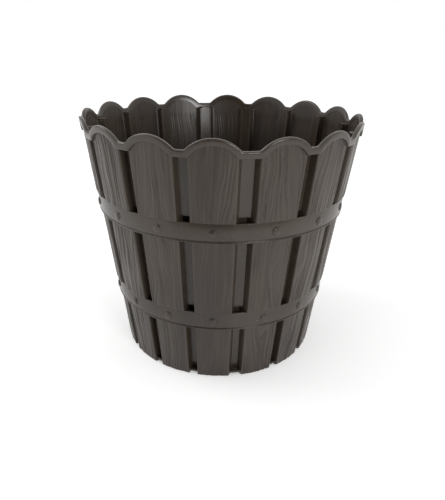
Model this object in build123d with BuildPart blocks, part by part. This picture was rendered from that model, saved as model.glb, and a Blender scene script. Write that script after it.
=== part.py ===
from build123d import *
from math import cos, radians, sin, sqrt
import os

# A round flower pot made like a half barrel: upright staves with scalloped tops,
# recessed strips in the gaps between them, two hoops with rivets, a lip and a floor.
# Lengths are millimetres and angles are degrees round the pot, counted from the
# front, -Y, towards +X. The origin is the middle of the pot, on the ground.

# Staves
pot_height = 270.0
base_radius = 115.4
wall_taper = 0.1155
staves_per_side = 8
wide_gap_extra = 2.54
mouth_angle = 4.98
stave_wall = 2.5
flange_wall = 2.2
scallop_rise = 11.0
valley_flat = 3.68

# Strips that close the gaps
gap_depth = 8.5
gap_floor_angle = 3.7
strip_wall = 2.2
strip_lift = 3.0
window_rise = 4.2
toe_reach = 3.0
sill_reach = 6.0

# Hoops
lower_hoop_base = 67.8
upper_hoop_base = 170.7
hoop_height = 19.9
hoop_wall = 2.2
hoop_edge_round = 0.8
hoop_clearance = 0.1
tier_overhang = 2.2

# Rivets
rivet_head_radius = 4.5
rivet_head_height = 1.6
rivet_shank_radius = 1.8
rivet_grip = 1.2
rivet_clearance = 0.05
rivet_seat_depth = 0.15

# Lip
lip_depth = 6.5
lip_proud = 1.9
lip_clearance = 0.1

# Floor
floor_wall = 3.0
floor_clearance = 0.2
drain_radius = 6.0
drain_circle_radius = 62.0
drain_count = 6

# Heights and radii that follow from the sizes above
lower_hoop_top = lower_hoop_base + hoop_height
upper_hoop_top = upper_hoop_base + hoop_height
lower_seat_radius = base_radius + wall_taper * lower_hoop_base
middle_foot_radius = lower_seat_radius + hoop_clearance + hoop_wall + tier_overhang
upper_seat_radius = middle_foot_radius + wall_taper * (upper_hoop_base - lower_hoop_top)
upper_foot_radius = upper_seat_radius + hoop_clearance + hoop_wall + tier_overhang
crown_radius = upper_foot_radius + wall_taper * (pot_height - upper_hoop_top)
valley_height = pot_height - scallop_rise
lip_base = valley_height - lip_depth
beyond = 10.0

# Spacing round the pot
spacing = (180.0 - wide_gap_extra) / staves_per_side
wide_spacing = spacing + wide_gap_extra
face_half_angle = (spacing - mouth_angle) / 2
narrow_foot_angle = (spacing - gap_floor_angle) / 2
wide_foot_angle = (wide_spacing - gap_floor_angle) / 2
scallop_half_width = crown_radius * sin(radians((spacing - valley_flat) / 2))
scallop_radius = (scallop_half_width**2 + scallop_rise**2) / (2 * scallop_rise)
scallop_centre = pot_height - scallop_radius
apex_height = -base_radius * pot_height / (crown_radius - base_radius)

halves = (0.0, 180.0)
stave_bearings = [
    half + wide_spacing / 2 + spacing * step for half in halves for step in range(staves_per_side)
]
gap_bearings = [
    half + (wide_spacing / 2 + spacing * (step - 0.5) if step else 0.0)
    for half in halves
    for step in range(staves_per_side)
]


def point_at(radius, bearing, height=0.0):
    """The point at a radius, a bearing round the pot and a height."""
    turn = radians(bearing)
    return Vector(radius * sin(turn), -radius * cos(turn), height)


def place_on_side(number):
    """Where a stave stands between the two wide gaps."""
    places = {0: "left of its side", staves_per_side - 1: "right of its side"}
    return places.get(number % staves_per_side, "middle")


def upright_plane(bearing):
    """The upright plane through the pot's axis at a bearing: x outwards, y up."""
    outwards = point_at(1, bearing)
    return Plane(origin=(0, 0, 0), x_dir=outwards, z_dir=outwards.cross(Vector(0, 0, 1)))


def facing_plane(radius, bearing, height):
    """A plane that faces outwards at a bearing, with x sideways and y up."""
    outwards = point_at(1, bearing)
    sideways = Vector(0, 0, 1).cross(outwards)
    return Plane(origin=point_at(radius, bearing, height), x_dir=sideways, z_dir=outwards)


def side_plane(side, foot_angle):
    """The slanted side of a stave that faces the front, on its side -1 or +1.

    It runs from the face's edge to the flange's foot and through the point where
    the pot's tapering sides would meet, so that a gap narrows as the pot does.
    """
    face_edge = point_at(base_radius, side * face_half_angle)
    flange_foot = point_at(base_radius - gap_depth, side * foot_angle)
    apex = Vector(0, 0, apex_height)
    normal = (face_edge - flange_foot).cross(apex - face_edge)
    if normal.X * side < 0:
        normal = normal * -1
    return Plane(origin=face_edge, x_dir=flange_foot - face_edge, z_dir=normal)


def wall_corners(inset, lift, bottom, top):
    """Corners of the stepped wall, moved inwards by inset, its ledges raised by lift."""
    middle_foot = middle_foot_radius + wall_taper * lift
    upper_foot = upper_foot_radius + wall_taper * lift
    return [
        (base_radius + wall_taper * bottom - inset, bottom),
        (lower_seat_radius - inset, lower_hoop_base),
        (lower_seat_radius - inset, lower_hoop_top + lift),
        (middle_foot - inset, lower_hoop_top + lift),
        (upper_seat_radius - inset, upper_hoop_base),
        (upper_seat_radius - inset, upper_hoop_top + lift),
        (upper_foot - inset, upper_hoop_top + lift),
        (upper_foot_radius + wall_taper * (top - upper_hoop_top) - inset, top),
    ]


def sector(corners, left_angle, right_angle):
    """A closed section turned about the pot's axis, from left to right of the front."""
    with BuildPart() as turned:
        with BuildSketch(upright_plane(-left_angle)):
            with BuildLine():
                Polyline(*corners, close=True)
            make_face()
        revolve(axis=Axis.Z, revolution_arc=left_angle + right_angle)
    return turned.part


def stave_facing_front(left_foot_angle, right_foot_angle):
    """One stave: a curved face with a scalloped top, and a flange down each side."""
    over = pot_height + beyond
    spread = wide_foot_angle + mouth_angle
    outside = wall_corners(0, 0, 0, over)
    foot_line = wall_corners(gap_depth + strip_wall, window_rise + strip_wall, 0, over)
    inside = wall_corners(stave_wall, stave_wall, -beyond, over + beyond)
    core = (base_radius / 2, over + beyond), (base_radius / 2, -beyond)
    left = side_plane(-1, left_foot_angle)
    right = side_plane(1, right_foot_angle)
    with BuildPart() as hollow:
        add(sector([*inside, *core], spread, spread))
        split(bisect_by=left.offset(-flange_wall), keep=Keep.BOTTOM)
        split(bisect_by=right.offset(-flange_wall), keep=Keep.BOTTOM)
    with BuildPart() as stave:
        add(sector([*outside, *reversed(foot_line)], spread, spread))
        split(bisect_by=left, keep=Keep.BOTTOM)
        split(bisect_by=right, keep=Keep.BOTTOM)
        add(hollow.part, mode=Mode.SUBTRACT)
        with BuildSketch(facing_plane(0, 0, 0)):
            with Locations((0, lip_base / 2)):
                Rectangle(2 * crown_radius, lip_base)
            with Locations((0, scallop_centre)):
                Circle(scallop_radius - lip_depth)
        extrude(amount=crown_radius + beyond, mode=Mode.INTERSECT)
        for seat_radius, hoop_base in rivet_rows:
            hole_bottom = facing_plane(seat_radius - rivet_grip, 0, hoop_base + hoop_height / 2)
            with BuildSketch(hole_bottom):
                Circle(rivet_shank_radius + rivet_clearance)
            extrude(amount=gap_depth, mode=Mode.SUBTRACT)
    return stave.part


def strip_facing_front(foot_angle, stave_spacing):
    """One recessed strip between two staves: a shelf inside the lip, and a sill and a toe at its foot."""
    shelf_top = lip_base + strip_wall
    toe_top = strip_lift + strip_wall
    outside = wall_corners(gap_depth, window_rise, toe_top, lip_base)
    inside = wall_corners(gap_depth + strip_wall, window_rise + strip_wall, toe_top, shelf_top)
    shelf_radius = outside[-1][0] + gap_depth - stave_wall - lip_clearance
    toe_radius = inside[0][0] - toe_reach
    sill_radius = outside[0][0] + sill_reach
    sill = (sill_radius, strip_lift), (sill_radius, toe_top)
    shelf = (shelf_radius, lip_base), (shelf_radius, shelf_top)
    toe = (toe_radius, toe_top), (toe_radius, strip_lift)
    to_left_stave = Rotation(0, 0, -stave_spacing / 2)
    to_right_stave = Rotation(0, 0, stave_spacing / 2)
    left_side = Plane(to_left_stave * side_plane(1, foot_angle).location)
    right_side = Plane(to_right_stave * side_plane(-1, foot_angle).location)
    reach = stave_spacing / 2
    with BuildPart() as strip:
        add(sector([*sill, *outside, *shelf, *reversed(inside), *toe], reach, reach))
        split(bisect_by=left_side, keep=Keep.TOP)
        split(bisect_by=right_side, keep=Keep.TOP)
    return strip.part


def lip_facing_front(left_spacing, right_spacing):
    """The lip over one stave, from the middle of the valley on its left to that on its right."""
    lip_top = pot_height + beyond
    inner = upper_foot_radius + wall_taper * (lip_base - upper_hoop_top) - stave_wall
    outer = inner + stave_wall + lip_proud
    flare = wall_taper * (lip_top - lip_base)
    corners = [(inner, lip_base), (outer, lip_base), (outer + flare, lip_top), (inner + flare, lip_top)]
    with BuildPart() as lip:
        add(sector(corners, left_spacing / 2, right_spacing / 2))
        with BuildSketch(facing_plane(0, 0, 0)):
            with Locations((0, lip_base + lip_depth / 2)):
                Rectangle(2 * crown_radius, lip_depth)
            with Locations((0, scallop_centre)):
                Circle(scallop_radius)
                Circle(scallop_radius - lip_depth + lip_clearance, mode=Mode.SUBTRACT)
            with Locations((0, lip_base / 2)):
                Rectangle(2 * crown_radius, lip_base, mode=Mode.SUBTRACT)
        extrude(amount=crown_radius + beyond, mode=Mode.INTERSECT)
    return lip.part


def hoop(seat_radius, hoop_base):
    """A flat band with rounded outer edges, and a hole and a flat seat for each rivet."""
    inner = seat_radius + hoop_clearance
    outer = inner + hoop_wall
    middle = hoop_base + hoop_height / 2
    with BuildPart() as band:
        with BuildSketch(upright_plane(0)) as section:
            with Locations((inner + hoop_wall / 2, middle)):
                Rectangle(hoop_wall, hoop_height)
            fillet(section.vertices().group_by(Axis((0, 0, 0), point_at(1, 0)))[-1], hoop_edge_round)
        revolve(axis=Axis.Z)
        for bearing in stave_bearings:
            with BuildSketch(facing_plane(outer - rivet_seat_depth, bearing, middle)):
                Circle(rivet_head_radius + rivet_clearance)
            extrude(amount=hoop_wall, mode=Mode.SUBTRACT)
            with BuildSketch(facing_plane(inner - hoop_wall, bearing, middle)):
                Circle(rivet_shank_radius + rivet_clearance)
            extrude(amount=2 * hoop_wall, mode=Mode.SUBTRACT)
    return band.part


def rivets(seat_radius, hoop_base):
    """A domed rivet for each stave, its head seated in the hoop and its shank in the stave."""
    head_base = seat_radius + hoop_clearance + hoop_wall - rivet_seat_depth
    middle = hoop_base + hoop_height / 2
    dome_radius = (rivet_head_radius**2 + rivet_head_height**2) / (2 * rivet_head_height)
    dome_waist = rivet_head_radius / sqrt(2)
    dome_rise = sqrt(dome_radius**2 - dome_waist**2) - dome_radius + rivet_head_height
    shank_end = seat_radius - rivet_grip + rivet_clearance
    with BuildPart() as rivet:
        with BuildSketch(Plane.XZ):
            with BuildLine():
                ThreePointArc((rivet_head_radius, 0), (dome_waist, dome_rise), (0, rivet_head_height))
                Polyline(
                    (0, rivet_head_height),
                    (0, shank_end - head_base),
                    (rivet_shank_radius, shank_end - head_base),
                    (rivet_shank_radius, 0),
                    (rivet_head_radius, 0),
                )
            make_face()
        revolve(axis=Axis.Z)
    with BuildPart() as row:
        with Locations(*[facing_plane(head_base, bearing, middle) for bearing in stave_bearings]):
            add(rivet.part)
    return row.part


rivet_rows = [(lower_seat_radius, lower_hoop_base), (upper_seat_radius, upper_hoop_base)]
os.makedirs("parts", exist_ok=True)

# Staves. A stave beside a wide gap has a flange that slants more on that side.
stave_patterns = {
    "left of its side": stave_facing_front(wide_foot_angle, narrow_foot_angle),
    "middle": stave_facing_front(narrow_foot_angle, narrow_foot_angle),
    "right of its side": stave_facing_front(narrow_foot_angle, wide_foot_angle),
}
for number, bearing in enumerate(stave_bearings):
    with BuildPart() as stave:
        add(stave_patterns[place_on_side(number)], rotation=(0, 0, bearing))
    stave.part.label = f"stave_{number + 1:02d}"
    export_step(stave.part, f"parts/{stave.part.label}.step")

# Strips, each between the sides of two staves.
wide_strip = strip_facing_front(wide_foot_angle, wide_spacing)
narrow_strip = strip_facing_front(narrow_foot_angle, spacing)
for number, bearing in enumerate(gap_bearings):
    pattern = narrow_strip if number % staves_per_side else wide_strip
    with BuildPart() as gap_strip:
        add(pattern, rotation=(0, 0, bearing))
    gap_strip.part.label = f"gap_strip_{number + 1:02d}"
    export_step(gap_strip.part, f"parts/{gap_strip.part.label}.step")

# Hoops and their rivets
with BuildPart() as lower_hoop:
    add(hoop(lower_seat_radius, lower_hoop_base))
lower_hoop.part.label = "lower_hoop"
export_step(lower_hoop.part, "parts/lower_hoop.step")

with BuildPart() as upper_hoop:
    add(hoop(upper_seat_radius, upper_hoop_base))
upper_hoop.part.label = "upper_hoop"
export_step(upper_hoop.part, "parts/upper_hoop.step")

with BuildPart() as lower_hoop_rivets:
    add(rivets(lower_seat_radius, lower_hoop_base))
lower_hoop_rivets.part.label = "lower_hoop_rivets"
export_step(lower_hoop_rivets.part, "parts/lower_hoop_rivets.step")

with BuildPart() as upper_hoop_rivets:
    add(rivets(upper_seat_radius, upper_hoop_base))
upper_hoop_rivets.part.label = "upper_hoop_rivets"
export_step(upper_hoop_rivets.part, "parts/upper_hoop_rivets.step")

# Lip. It follows the scallops and stands proud of the staves all the way round.
lip_patterns = {
    "left of its side": lip_facing_front(wide_spacing, spacing),
    "middle": lip_facing_front(spacing, spacing),
    "right of its side": lip_facing_front(spacing, wide_spacing),
}
with BuildPart() as rim_lip:
    for number, bearing in enumerate(stave_bearings):
        add(lip_patterns[place_on_side(number)], rotation=(0, 0, bearing))
rim_lip.part.label = "rim_lip"
export_step(rim_lip.part, "parts/rim_lip.step")

# Floor. It lies on the toes of the strips and fills the staves' hollows.
with BuildPart() as pot_floor:
    floor_base = strip_lift + strip_wall
    floor_radius = base_radius + wall_taper * floor_base - stave_wall - floor_clearance
    notch_radius = base_radius - gap_depth - strip_wall - floor_clearance
    with BuildSketch(Plane.XY.offset(floor_base)):
        Circle(floor_radius)
        for number, bearing in enumerate(gap_bearings):
            stave_spacing = spacing if number % staves_per_side else wide_spacing
            flange = flange_wall + floor_clearance
            inner_half = notch_radius * sin(radians(gap_floor_angle / 2)) + 1.2 * flange
            outer_half = base_radius * sin(radians(stave_spacing / 2 - face_half_angle)) + 1.2 * flange
            with Locations(Location((0, 0, 0), (0, 0, bearing - 90))):
                Polygon(
                    (notch_radius, -inner_half),
                    (notch_radius, inner_half),
                    (base_radius, outer_half),
                    (base_radius, -outer_half),
                    align=None,
                    mode=Mode.SUBTRACT,
                )
        with PolarLocations(drain_circle_radius, drain_count):
            Circle(drain_radius, mode=Mode.SUBTRACT)
        Circle(drain_radius, mode=Mode.SUBTRACT)
    extrude(amount=floor_wall)
pot_floor.part.label = "pot_floor"
export_step(pot_floor.part, "parts/pot_floor.step")
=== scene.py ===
import math
import random

import bmesh
import bpy
from mathutils import Matrix, Vector, noise


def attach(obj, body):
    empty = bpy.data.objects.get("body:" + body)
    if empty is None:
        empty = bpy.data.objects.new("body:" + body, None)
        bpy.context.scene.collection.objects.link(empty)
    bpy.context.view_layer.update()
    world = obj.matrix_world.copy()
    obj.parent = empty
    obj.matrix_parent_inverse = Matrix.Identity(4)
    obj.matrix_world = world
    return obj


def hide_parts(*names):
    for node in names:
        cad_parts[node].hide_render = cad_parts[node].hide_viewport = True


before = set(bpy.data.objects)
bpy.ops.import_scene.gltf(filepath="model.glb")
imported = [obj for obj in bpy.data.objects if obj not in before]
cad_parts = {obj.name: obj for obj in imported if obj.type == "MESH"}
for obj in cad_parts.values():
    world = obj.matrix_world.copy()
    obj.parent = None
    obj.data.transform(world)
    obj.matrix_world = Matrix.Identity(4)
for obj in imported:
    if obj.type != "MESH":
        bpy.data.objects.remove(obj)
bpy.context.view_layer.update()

# Camera. It stands in front of the pot and a little to the left of the front wide gap,
# above the rim, and looks down into the pot. It is an ordinary lens close to the pot.
CAMERA_DISTANCE = 0.5442
CAMERA_HEIGHT = 0.3485
CAMERA_ASIDE = 0.0032
CAMERA_BEARING = math.radians(-9.92)
CAMERA_TILT = math.radians(90 - 24.36)
CAMERA_ROLL = math.radians(1.08)

camera_data = bpy.data.cameras.new("camera")
camera_data.lens = 34.61
camera_data.sensor_width = 36.0
camera_data.clip_start = 0.01
camera = bpy.data.objects.new("camera", camera_data)
bpy.context.scene.collection.objects.link(camera)
round_the_pot = Matrix.Rotation(CAMERA_BEARING, 4, "Z")
camera.matrix_world = (
    round_the_pot
    @ Matrix.Translation((CAMERA_ASIDE, -CAMERA_DISTANCE, CAMERA_HEIGHT))
    @ Matrix.Rotation(CAMERA_TILT, 4, "X")
    @ Matrix.Rotation(CAMERA_ROLL, 4, "Z")
)
bpy.context.scene.camera = camera

# Staves. Each is a tapering face with a scalloped top and two flanges, moulded in dark
# brown plastic about 2.5 mm thick, with a wavy wood grain cut into the mould, so that
# it stands in low relief outside and shows more faintly inside. The sizes down to
# STAVES_A_SIDE are the solids' own, the next ones belong to the visual model alone, and
# those from SPACING on follow from the solids' sizes.
MM = 0.001
POT_HEIGHT = 270.0 * MM
BASE_RADIUS = 115.4 * MM
TAPER = 0.1155
HOOP_HEIGHT = 19.9 * MM
LOWER_HOOP = 67.8 * MM
UPPER_HOOP = 170.7 * MM
TIER_STEP = 4.5 * MM
STAVE_WALL = 2.5 * MM
FLANGE_WALL = 2.2 * MM
STRIP_DEPTH = 8.5 * MM
STRIP_WALL = 2.2 * MM
STRIP_RISE = 4.2 * MM
SCALLOP_RISE = 11.0 * MM
LIP_DEPTH = 6.5 * MM
WIDE_GAP_EXTRA = math.radians(2.54)
GAP_MOUTH = math.radians(4.98)
GAP_FLOOR = math.radians(3.7)
VALLEY_FLAT = math.radians(3.68)
STAVES_A_SIDE = 8

LIP_LAP = 1.0 * MM
TIER_ROUNDING = 1.3 * MM
ROW_PITCH = 2.0 * MM
HALF_FACE = 21.0 * MM
CORNER = 1.7 * MM
GRAIN_DEPTH = 1.4 * MM
GRAIN_INSIDE = 0.4
GRAIN_MARGIN = 8.0 * MM
LINE_WIDTH = 2.7
SWELL_WIDTH = 6.5
INNER_LEVEL = -0.01

SPACING = (math.pi - WIDE_GAP_EXTRA) / STAVES_A_SIDE
WIDE_SPACING = SPACING + WIDE_GAP_EXTRA
FACE_HALF = (SPACING - GAP_MOUTH) / 2
NARROW_FOOT = (SPACING - GAP_FLOOR) / 2
WIDE_FOOT = (WIDE_SPACING - GAP_FLOOR) / 2
SCALLOP_HALF = (SPACING - VALLEY_FLAT) / 2
lower_hoop_top = LOWER_HOOP + HOOP_HEIGHT
upper_hoop_top = UPPER_HOOP + HOOP_HEIGHT
lower_seat = BASE_RADIUS + TAPER * LOWER_HOOP
upper_seat = lower_seat + TIER_STEP + TAPER * (UPPER_HOOP - lower_hoop_top)
crown_radius = upper_seat + TIER_STEP + TAPER * (POT_HEIGHT - upper_hoop_top)
apex = -BASE_RADIUS * POT_HEIGHT / (crown_radius - BASE_RADIUS)
scallop_width = crown_radius * math.sin(SCALLOP_HALF)
scallop_radius = (scallop_width**2 + SCALLOP_RISE**2) / (2 * SCALLOP_RISE)
scallop_centre = POT_HEIGHT - scallop_radius
valley_height = POT_HEIGHT - SCALLOP_RISE
lip_base = valley_height - LIP_DEPTH
stave_bearings = [
    math.pi * half + WIDE_SPACING / 2 + SPACING * step
    for half in (0, 1)
    for step in range(STAVES_A_SIDE)
]


def wall_radius(height, lift=0.0):
    """Radius of the stepped outer wall at a height, with its ledges raised by lift."""
    if height < lower_hoop_top + lift:
        return BASE_RADIUS + TAPER * min(height, LOWER_HOOP)
    if height < upper_hoop_top + lift:
        return lower_seat + TIER_STEP + TAPER * (min(height, UPPER_HOOP) - lower_hoop_top)
    return upper_seat + TIER_STEP + TAPER * (height - upper_hoop_top)


def scallop_top(aside, drop):
    """Height of a scalloped edge at a distance aside from a stave's middle, drop below the top."""
    radius = scallop_radius - drop
    shoulder = valley_height - drop
    if abs(aside) >= radius:
        return shoulder
    return max(shoulder, scallop_centre + math.sqrt(radius**2 - aside**2))


def at(radius, bearing, height):
    """The place at a radius, a bearing counted from the front towards +X, and a height."""
    return Vector((radius * math.sin(bearing), -radius * math.cos(bearing), height))


def smooth(value):
    """Eases 0 to 1, and holds there outside."""
    value = max(0.0, min(1.0, value))
    return value * value * (3 - 2 * value)


def stave_rows():
    """Rows up a stave: outer height and radius, inner height and radius, share of the top tier."""
    rows = []
    tiers = (
        (0.0, BASE_RADIUS, LOWER_HOOP),
        (lower_hoop_top, lower_seat + TIER_STEP, UPPER_HOOP),
        (upper_hoop_top, upper_seat + TIER_STEP, POT_HEIGHT),
    )
    for foot, foot_radius, head in tiers:
        below = foot_radius - (TIER_STEP if foot else 0)
        for step in range(5):
            turn = math.pi / 8 * step
            height = foot + TIER_ROUNDING * (1 - math.cos(turn))
            radius = foot_radius + TAPER * TIER_ROUNDING - TIER_ROUNDING * (1 - math.sin(turn))
            inner_height = foot + (STAVE_WALL + 0.05 * MM * step if foot else height - foot)
            inner_radius = below + (foot_radius - below) * step / 4 - STAVE_WALL
            rows.append((height, radius, inner_height, inner_radius, 0.0))
        start = foot + TIER_ROUNDING + 0.75 * ROW_PITCH
        count = round((head - start) / ROW_PITCH)
        for step in range(count + 1):
            share = step / count
            height = start + (head - start) * share
            radius = foot_radius + TAPER * (height - foot)
            top_share = share if head == POT_HEIGHT else 0.0
            rows.append((height, radius, height, radius - STAVE_WALL, top_share))
        if head != POT_HEIGHT:
            for height in (head + 1 * MM, head + HOOP_HEIGHT / 2, head + HOOP_HEIGHT - 0.05 * MM):
                radius = foot_radius + TAPER * (head - foot)
                inner_height = height + (STAVE_WALL if height > head + HOOP_HEIGHT / 2 else 0)
                rows.append((height, radius, inner_height, radius - STAVE_WALL, 0.0))
    return rows


def stave_columns():
    """Columns across a stave: share of the face's half width, and depth down a flange."""
    flange = STRIP_DEPTH + STRIP_WALL
    one_side = [step / 30 * (HALF_FACE - CORNER) for step in range(31)]
    one_side += [HALF_FACE - CORNER + CORNER * step / 3 for step in range(1, 7)]
    one_side += [HALF_FACE + CORNER + (flange - CORNER) * step / 4 for step in range(1, 5)]
    columns = []
    for along in [-s for s in reversed(one_side[1:])] + one_side:
        side = math.copysign(1, along)
        path = abs(along)
        if path <= HALF_FACE - CORNER:
            across, down = path, 0.0
        elif path >= HALF_FACE + CORNER:
            across, down = HALF_FACE, path - HALF_FACE
        else:
            share = (path - HALF_FACE + CORNER) / (2 * CORNER)
            across = HALF_FACE - CORNER * (1 - share) ** 2
            down = CORNER * share**2
        columns.append((side * across / HALF_FACE, down / flange))
    return columns


class Grain:
    """The moulded wood grain of one stave: long wavy lines that part round a knot or two."""

    def __init__(self, seed):
        draw = random.Random(seed)
        self.seed = Vector((draw.uniform(0, 90), draw.uniform(0, 90), draw.uniform(0, 90)))
        self.slant = draw.uniform(-0.20, 0.20)
        self.knots = [
            (draw.uniform(-15, 15), draw.uniform(20, 245), draw.uniform(5, 9), draw.uniform(22, 38))
            for _ in range(draw.choice((1, 2, 2)))
        ]

    def sample(self, x, y, z):
        """Smooth noise from -1 to 1, the stave's own."""
        return noise.noise(Vector((x, y, z)) + self.seed)

    def relief(self, aside, height):
        """Depth of the grain at a place on the face, 0 to 1; its lines are about 3 mm apart."""
        x = aside / MM
        z = height / MM
        field = x + self.slant * (z - 200 * smooth(z / 400))
        field += 6.5 * self.sample(x / 30, z / 62, 0.0) + 1.8 * self.sample(x / 11, z / 26, 5.0)
        for knot_x, knot_z, reach_x, reach_z in self.knots:
            near = math.exp(-((x - knot_x) / reach_x) ** 2 - ((z - knot_z) / reach_z) ** 2)
            field -= (x - knot_x) * 1.1 * near
        line = self.sample(field / LINE_WIDTH, z / 120, 11.0)
        groove = max(0.0, 1 - abs(line) / 0.45) ** 1.3
        depth = 0.70 + 0.60 * self.sample(x / 11, z / 38, 17.0)
        swell = self.sample(field / SWELL_WIDTH, z / 90, 23.0)
        return max(0.0, 0.66 * groove * depth + 0.34 * (0.5 + 0.5 * swell))


def build_stave(name, bearing, left_foot, right_foot, grain):
    """One stave as a closed mesh: a grid for the outside, its copy inside, bridged at the edges."""
    rows = stave_rows()
    columns = stave_columns()
    bm = bmesh.new()
    bmesh.ops.create_grid(bm, x_segments=len(columns) - 1, y_segments=len(rows) - 1, size=1.0)
    outer = bm.verts[:] + bm.edges[:] + bm.faces[:]
    copied = bmesh.ops.duplicate(bm, geom=outer)
    inner_verts = [item for item in copied["geom"] if isinstance(item, bmesh.types.BMVert)]
    inner_faces = [item for item in copied["geom"] if isinstance(item, bmesh.types.BMFace)]
    bmesh.ops.translate(bm, verts=inner_verts, vec=(0, 0, INNER_LEVEL))
    bmesh.ops.reverse_faces(bm, faces=inner_faces)
    bmesh.ops.bridge_loops(bm, edges=[edge for edge in bm.edges if edge.is_boundary])
    grain_map = bm.loops.layers.uv.new("grain")
    groove_map = bm.verts.layers.float.new("groove")
    on_face = {}
    for vert in bm.verts:
        share, down = columns[round((vert.co.x + 1) / 2 * (len(columns) - 1))]
        height, radius, inner_height, inner_radius, top_share = rows[
            round((vert.co.y + 1) / 2 * (len(rows) - 1))
        ]
        inside = vert.co.z < INNER_LEVEL / 2
        aside = share * radius * FACE_HALF
        if top_share:
            under_lip = scallop_top(aside, LIP_DEPTH - LIP_LAP)
            height += (under_lip - POT_HEIGHT) * top_share
            inner_height = height
            behind_lip = 0.25 * MM * top_share**8
            inner_radius = wall_radius(height) - STAVE_WALL + behind_lip
            radius = wall_radius(height)
        flange_end = wall_radius(height, STRIP_RISE + STRIP_WALL) - STRIP_DEPTH - STRIP_WALL
        towards_edge = smooth((1 - abs(share)) * 7)
        vert[groove_map] = grain.relief(aside, height) * towards_edge if towards_edge else 0.0
        relief = GRAIN_DEPTH * vert[groove_map]
        if inside:
            height = inner_height
            flange_end = wall_radius(height, STRIP_RISE + STRIP_WALL) - STRIP_DEPTH - STRIP_WALL
            relief *= GRAIN_INSIDE * smooth((lip_base - height) / GRAIN_MARGIN - 0.5)
            place_radius = inner_radius + (flange_end - inner_radius) * down + relief
        else:
            place_radius = radius + (flange_end - radius) * down - relief
        scale = (height - apex) / -apex
        foot = right_foot if share > 0 else left_foot
        slant = (BASE_RADIUS * scale - place_radius) / (STRIP_DEPTH * scale)
        edge = FACE_HALF + (foot - FACE_HALF) * slant
        if inside:
            edge -= FLANGE_WALL / place_radius
        on_face[vert] = (aside + math.copysign(down, share) * 10 * MM, height)
        vert.co = at(place_radius, bearing + share * edge, height)
    for face in bm.faces:
        face.smooth = True
        for loop in face.loops:
            loop[grain_map].uv = on_face[loop.vert]
    bmesh.ops.recalc_face_normals(bm, faces=bm.faces)
    return mesh_object(name, bm, sharp=50)


def mesh_object(name, bm, sharp=35):
    """Puts a finished bmesh into the scene, with edges past an angle kept crisp."""
    mesh = bpy.data.meshes.new(name)
    bm.to_mesh(mesh)
    bm.free()
    mesh.set_sharp_from_angle(angle=math.radians(sharp))
    piece = bpy.data.objects.new(name, mesh)
    bpy.context.scene.collection.objects.link(piece)
    return piece


class Wire:
    """A shader socket that can stand in a sum: each operator adds its Math node."""

    def __init__(self, tree, socket=None):
        self.tree = tree
        self.socket = socket

    def node(self, kind, inputs, settings=None, output=0):
        """Adds any node, with its settings first, and gives one of its outputs."""
        made = self.tree.nodes.new(kind)
        for name, value in (settings or {}).items():
            if name == "stops":
                stops = made.color_ramp.elements
                for number, (place, colour) in enumerate(value):
                    stop = stops[number] if number < 2 else stops.new(place)
                    stop.position = place
                    stop.color = colour
            else:
                setattr(made, name, value)
        for name, value in inputs.items():
            if isinstance(value, Wire):
                self.tree.links.new(value.socket, made.inputs[name])
            else:
                made.inputs[name].default_value = value
        return Wire(self.tree, made.outputs[output])

    def maths(self, operation, first, second):
        """Adds one Math node."""
        return self.node("ShaderNodeMath", {0: first, 1: second}, {"operation": operation})

    def __add__(self, other):
        return self.maths("ADD", self, other)

    def __mul__(self, other):
        return self.maths("MULTIPLY", self, other)

    def __sub__(self, other):
        return self.maths("SUBTRACT", self, other)


PLASTIC = (0.047, 0.034, 0.024, 1)
PLASTIC_PALE = (0.060, 0.046, 0.034, 1)
PLASTIC_DARK = (0.034, 0.024, 0.017, 1)


def plastic(name, roughness=0.30, texture=0.02, grain=False):
    """Moulded brown plastic: faint clouding from the flow of the melt, a satin skin with a
    fine texture, and where it has grain, darker grooves with thin fibres between them."""
    material = bpy.data.materials.new(name)
    material.use_nodes = True
    tree = material.node_tree
    shader = tree.nodes["Principled BSDF"]
    wire = Wire(tree)
    place = wire.node("ShaderNodeTexCoord", {}, output="Object")
    flow = wire.node("ShaderNodeMapping", {"Vector": place, "Scale": (14, 14, 5)})
    cloud = wire.node(
        "ShaderNodeTexNoise",
        {"Vector": flow, "Scale": 1.0, "Detail": 4.0, "Roughness": 0.6},
    )
    speck = wire.node("ShaderNodeTexNoise", {"Vector": place, "Scale": 420.0, "Detail": 2.0})
    skin = wire.node("ShaderNodeTexNoise", {"Vector": place, "Scale": 1500.0, "Detail": 3.0})
    shade = cloud * 0.9 + speck * 0.1
    if grain:
        groove = wire.node("ShaderNodeAttribute", {}, {"attribute_name": "groove"}, "Fac")
        shade = shade + 0.10 - groove * 0.34
    tone = wire.node(
        "ShaderNodeValToRGB",
        {"Fac": shade},
        {"stops": [(0.36, PLASTIC_DARK), (0.66, PLASTIC_PALE), (0.5, PLASTIC)]},
    )
    tree.links.new(tone.socket, shader.inputs["Base Color"])
    rub = wire.node(
        "ShaderNodeTexNoise",
        {"Vector": place, "Scale": 38.0, "Detail": 5.0, "Roughness": 0.65},
    )
    rough = rub * 0.10 + (roughness - 0.05)
    height = skin * texture
    if grain:
        along = wire.node("ShaderNodeUVMap", {}, {"uv_map": "grain"})
        stretched = wire.node("ShaderNodeMapping", {"Vector": along, "Scale": (900, 26, 1)})
        fibre = wire.node(
            "ShaderNodeTexNoise",
            {"Vector": stretched, "Scale": 1.0, "Detail": 3.0, "Roughness": 0.55, "Distortion": 0.6},
        )
        height = height + fibre * 0.45
        rough = rough + fibre * 0.05 + groove * 0.18
    tree.links.new(rough.socket, shader.inputs["Roughness"])
    bump = wire.node("ShaderNodeBump", {"Height": height, "Strength": 0.35, "Distance": 0.0004})
    tree.links.new(bump.socket, shader.inputs["Normal"])
    shader.inputs["IOR"].default_value = 1.49
    return material


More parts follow.
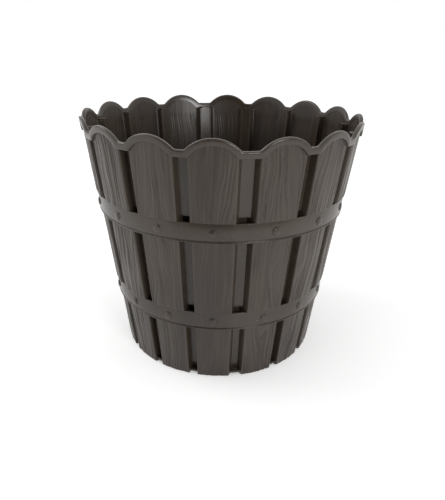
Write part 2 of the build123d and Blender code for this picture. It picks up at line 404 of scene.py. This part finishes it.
stave_plastic = plastic("stave_plastic", roughness=0.31, grain=True)
for number, bearing in enumerate(stave_bearings):
    place_in_half = number % STAVES_A_SIDE
    left_foot = WIDE_FOOT if place_in_half == 0 else NARROW_FOOT
    right_foot = WIDE_FOOT if place_in_half == STAVES_A_SIDE - 1 else NARROW_FOOT
    node = f"stave_{number + 1:02d}"
    stave = build_stave(f"{node}_grained", bearing, left_foot, right_foot, Grain(number + 3))
    stave.data.materials.append(stave_plastic)
    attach(stave, "root")
    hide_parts(node)

# Gap strips. They are smooth recessed strips of the same moulding that close the gaps
# between the staves behind the hoops; they keep the solids' own shape.
strip_plastic = plastic("strip_plastic", roughness=0.27, texture=0.02)
for name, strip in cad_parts.items():
    if name.startswith("gap_strip"):
        strip.data.materials.clear()
        strip.data.materials.append(strip_plastic)

# Hoops. Flat bands that imitate the iron hoops of a tub, moulded smooth, with soft edges
# and a fine bead below; each lies under the ledge of the tier above and bridges the gaps.
HOOP_WALL = 2.2 * MM
HOOP_CLEARANCE = 0.1 * MM
BEAD_HEIGHT = 1.1 * MM
BEAD_DEPTH = 1.0 * MM


def build_hoop(name, seat_radius, base):
    """A rounded band with a bead along its lower edge, spun round the pot's axis."""
    bm = bmesh.new()
    inner = seat_radius + HOOP_CLEARANCE
    outer = inner + HOOP_WALL
    bead = base + BEAD_HEIGHT
    groove = outer - BEAD_DEPTH
    corners = [
        bm.verts.new((inner, 0, base)),
        bm.verts.new((outer - 0.3 * MM, 0, base)),
        bm.verts.new((outer - 0.3 * MM, 0, bead)),
        bm.verts.new((groove, 0, bead + 0.1 * MM)),
        bm.verts.new((groove, 0, bead + 0.9 * MM)),
        bm.verts.new((outer, 0, bead + 1.9 * MM)),
        bm.verts.new((outer, 0, base + HOOP_HEIGHT)),
        bm.verts.new((inner, 0, base + HOOP_HEIGHT)),
    ]
    bm.faces.new(corners)
    bmesh.ops.bevel(
        bm,
        geom=corners[1:7],
        offset=0.4 * MM,
        segments=3,
        profile=0.5,
        affect="VERTICES",
        material=-1,
    )
    bmesh.ops.delete(bm, geom=bm.faces[:], context="FACES_ONLY")
    bmesh.ops.spin(
        bm,
        geom=bm.verts[:] + bm.edges[:],
        cent=(0, 0, 0),
        axis=(0, 0, 1),
        angle=2 * math.pi,
        steps=384,
        use_merge=True,
    )
    for face in bm.faces:
        face.smooth = True
    bmesh.ops.recalc_face_normals(bm, faces=bm.faces)
    return mesh_object(name, bm)


hoop_plastic = plastic("hoop_plastic", roughness=0.26, texture=0.015)
for node, seat_radius, base in (
    ("lower_hoop", lower_seat, LOWER_HOOP),
    ("upper_hoop", upper_seat, UPPER_HOOP),
):
    hoop = build_hoop(f"{node}_band", seat_radius, base)
    hoop.data.materials.append(hoop_plastic)
    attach(hoop, "root")
    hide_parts(node)

# Rivets. A low dome with a full, round edge stands on the hoop in front of the middle of
# each stave, moulded with the hoop in the same plastic.
RIVET_RADIUS = 4.5 * MM
RIVET_HEIGHT = 1.6 * MM


def build_rivets(name, seat_radius, base):
    """Sixteen domes, each spun about its own axis and set on the hoop."""
    face_radius = seat_radius + HOOP_CLEARANCE + HOOP_WALL
    middle = base + HOOP_HEIGHT / 2
    section = [
        (0.0, RIVET_HEIGHT),
        (0.25, 0.98 * RIVET_HEIGHT),
        (0.5, 0.92 * RIVET_HEIGHT),
        (0.7, 0.80 * RIVET_HEIGHT),
        (0.84, 0.62 * RIVET_HEIGHT),
        (0.93, 0.38 * RIVET_HEIGHT),
        (0.98, 0.12 * RIVET_HEIGHT),
        (1.0, -0.15 * MM),
    ]
    bm = bmesh.new()
    for bearing in stave_bearings:
        verts = [bm.verts.new((share * RIVET_RADIUS, 0, rise)) for share, rise in section]
        edges = [bm.edges.new(pair) for pair in zip(verts, verts[1:])]
        bmesh.ops.spin(
            bm,
            geom=verts + edges,
            cent=(0, 0, 0),
            axis=(0, 0, 1),
            angle=2 * math.pi,
            steps=32,
            use_merge=True,
        )
        dome = [vert for vert in bm.verts if not vert.tag]
        bmesh.ops.remove_doubles(bm, verts=dome, dist=0.001 * MM)
        dome = [vert for vert in bm.verts if not vert.tag]
        outwards = Matrix.Rotation(bearing, 4, "Z") @ Matrix.Rotation(math.pi / 2, 4, "X")
        to_hoop = Matrix.Translation(at(face_radius, bearing, middle)) @ outwards
        bmesh.ops.transform(bm, matrix=to_hoop, verts=dome)
        rims = {edge for vert in dome for edge in vert.link_edges if edge.is_boundary}
        bmesh.ops.holes_fill(bm, edges=list(rims), sides=0)
        for vert in dome:
            vert.tag = True
    for face in bm.faces:
        face.smooth = True
    bmesh.ops.recalc_face_normals(bm, faces=bm.faces)
    return mesh_object(name, bm, sharp=60)


for node, seat_radius, base in (
    ("lower_hoop_rivets", lower_seat, LOWER_HOOP),
    ("upper_hoop_rivets", upper_seat, UPPER_HOOP),
):
    rivets = build_rivets(f"{node}_domes", seat_radius, base)
    rivets.data.materials.append(hoop_plastic)
    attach(rivets, "root")
    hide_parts(node)

# Lip. A rounded band that follows the scallops all the way round, thicker than the
# staves, so that it stands proud of them outside and is flush inside.
LIP_PROUD = 1.9 * MM
LIP_ROUNDING = 1.7 * MM
LIP_SOFT_EDGE = 0.8 * MM
VALLEY_EASE = 1.2 * MM
LIP_OVERLAP = 0.1 * MM
lip_wall = STAVE_WALL + LIP_PROUD


def lip_edge(bearing, drop, ease):
    """Height of the lip's edge at a bearing, drop below the top.

    The corners beside the valleys are eased, and the whole edge is lowered by a little
    more than the easing would raise it at the tips.
    """
    nearest = min(stave_bearings, key=lambda b: abs(math.remainder(bearing - b, 2 * math.pi)))
    aside = crown_radius * math.sin(math.remainder(bearing - nearest, 2 * math.pi))
    arch = scallop_centre + math.sqrt(max(0.0, (scallop_radius - drop) ** 2 - aside**2))
    shoulder = valley_height - drop
    gap = arch - shoulder
    lowered = ease * ease / SCALLOP_RISE / 3
    return shoulder + (gap + math.sqrt(gap * gap + ease * ease)) / 2 - lowered


def build_lip(name):
    """A rounded section spun round the pot, then each part of it moved to the scalloped edges."""
    section = [(0.0, "low", 0.0)]
    section += [(0.0, "high", LIP_ROUNDING)]
    for step in range(1, 5):
        turn = math.pi / 8 * step
        outwards = LIP_ROUNDING * (1 - math.cos(turn))
        section.append((outwards, "high", LIP_ROUNDING * (1 - math.sin(turn))))
    for step in range(0, 5):
        turn = math.pi / 8 * step
        outwards = lip_wall - LIP_ROUNDING * (1 - math.sin(turn))
        section.append((outwards, "high", LIP_ROUNDING * (1 - math.cos(turn))))
    section += [(lip_wall, "low", LIP_SOFT_EDGE), (lip_wall - 0.25 * MM, "low", 0.25 * MM)]
    section += [(lip_wall - LIP_SOFT_EDGE, "low", 0.0)]
    bm = bmesh.new()
    ring = [bm.verts.new((1.0, 0, index)) for index in range(len(section))]
    edges = [bm.edges.new(pair) for pair in zip(ring, ring[1:] + ring[:1])]
    bmesh.ops.spin(
        bm,
        geom=ring + edges,
        cent=(0, 0, 0),
        axis=(0, 0, 1),
        angle=2 * math.pi,
        steps=960,
        use_merge=True,
    )
    for vert in bm.verts:
        bearing = math.atan2(vert.co.x, -vert.co.y)
        outwards, edge, offset = section[round(vert.co.z)]
        top = lip_edge(bearing, 0, VALLEY_EASE)
        low = lip_edge(bearing, LIP_DEPTH, 0) - LIP_OVERLAP
        height = top - offset if edge == "high" else low + offset
        vert.co = at(wall_radius(height) - STAVE_WALL + outwards, bearing, height)
    for face in bm.faces:
        face.smooth = True
    bmesh.ops.recalc_face_normals(bm, faces=bm.faces)
    return mesh_object(name, bm, sharp=60)


lip_plastic = plastic("lip_plastic", roughness=0.25, texture=0.015)
lip = build_lip("rim_lip_band")
lip.data.materials.append(lip_plastic)
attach(lip, "root")
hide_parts("rim_lip")

# Pot floor. A flat drained disc low down in the pot, of the same plastic, a little
# duller; it keeps the solid's own shape.
floor_plastic = plastic("floor_plastic", roughness=0.45, texture=0.04)
pot_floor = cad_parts["pot_floor"]
pot_floor.data.materials.clear()
pot_floor.data.materials.append(floor_plastic)

# Studio. A white table runs into a white background in soft light. A lamp at the left
# throws a faint shadow, a low window at the front right shines in the back staves, and
# a dark screen stands behind the camera.
TABLE_SIZE = 12.0
SOFT_LIGHT = 0.8


def is_seen(tree):
    """1 for the camera and in reflections, and 0 for the light that falls on the pot."""
    path = tree.nodes.new("ShaderNodeLightPath")
    seen = Wire(tree, path.outputs["Is Camera Ray"])
    seen = seen.maths("MAXIMUM", seen, Wire(tree, path.outputs["Is Glossy Ray"]))
    return seen.maths("MAXIMUM", seen, Wire(tree, path.outputs["Is Transmission Ray"]))


def sheet(name, size, colour, glow=0.0):
    """A flat matt sheet, with a glow that shows in the picture and lights nothing."""
    bm = bmesh.new()
    bmesh.ops.create_grid(bm, x_segments=1, y_segments=1, size=size / 2)
    made = mesh_object(name, bm)
    material = bpy.data.materials.new(name)
    material.use_nodes = True
    tree = material.node_tree
    shader = tree.nodes["Principled BSDF"]
    shader.inputs["Base Color"].default_value = (colour, colour, colour, 1)
    shader.inputs["Roughness"].default_value = 0.8
    shader.inputs["Specular IOR Level"].default_value = 0.0
    if glow:
        tree.links.new((is_seen(tree) * glow).socket, shader.inputs["Emission Color"])
        shader.inputs["Emission Strength"].default_value = 1.0
    made.data.materials.append(material)
    return made


def soft_lamp(name, place, target, wide, tall, power):
    """A flat lamp that faces a target."""
    data = bpy.data.lights.new(name, "AREA")
    data.shape = "RECTANGLE"
    data.size = wide
    data.size_y = tall
    data.energy = power
    lamp = bpy.data.objects.new(name, data)
    bpy.context.scene.collection.objects.link(lamp)
    lamp.location = place
    lamp.rotation_euler = (Vector(target) - Vector(place)).to_track_quat("-Z", "Y").to_euler()


table = sheet("studio_table", TABLE_SIZE, 0.93, glow=0.33)
screen = sheet("studio_screen", 1.0, 0.05)
stand = Matrix.Translation((0, -0.95, 0.65)) @ Matrix.Rotation(math.radians(-90), 4, "X")
screen.data.transform(stand @ Matrix.Diagonal((2.2, 1.3, 1, 1)))
screen.visible_camera = False
soft_lamp("left_lamp", (-1.3, 0.5, 1.5), (0, 0, 0.15), 1.0, 1.0, 9.0)
soft_lamp("front_window", (0.30, -0.86, 0.40), (0, 0.14, 0.24), 0.34, 0.16, 3.2)

world = bpy.data.worlds.new("studio")
bpy.context.scene.world = world
world.use_nodes = True
background = world.node_tree.nodes["Background"]
background.inputs["Color"].default_value = (1, 1, 1, 1)
strength = is_seen(world.node_tree) * (1 - SOFT_LIGHT) + SOFT_LIGHT
world.node_tree.links.new(strength.socket, background.inputs["Strength"])

bpy.context.scene.view_settings.view_transform = "Standard"
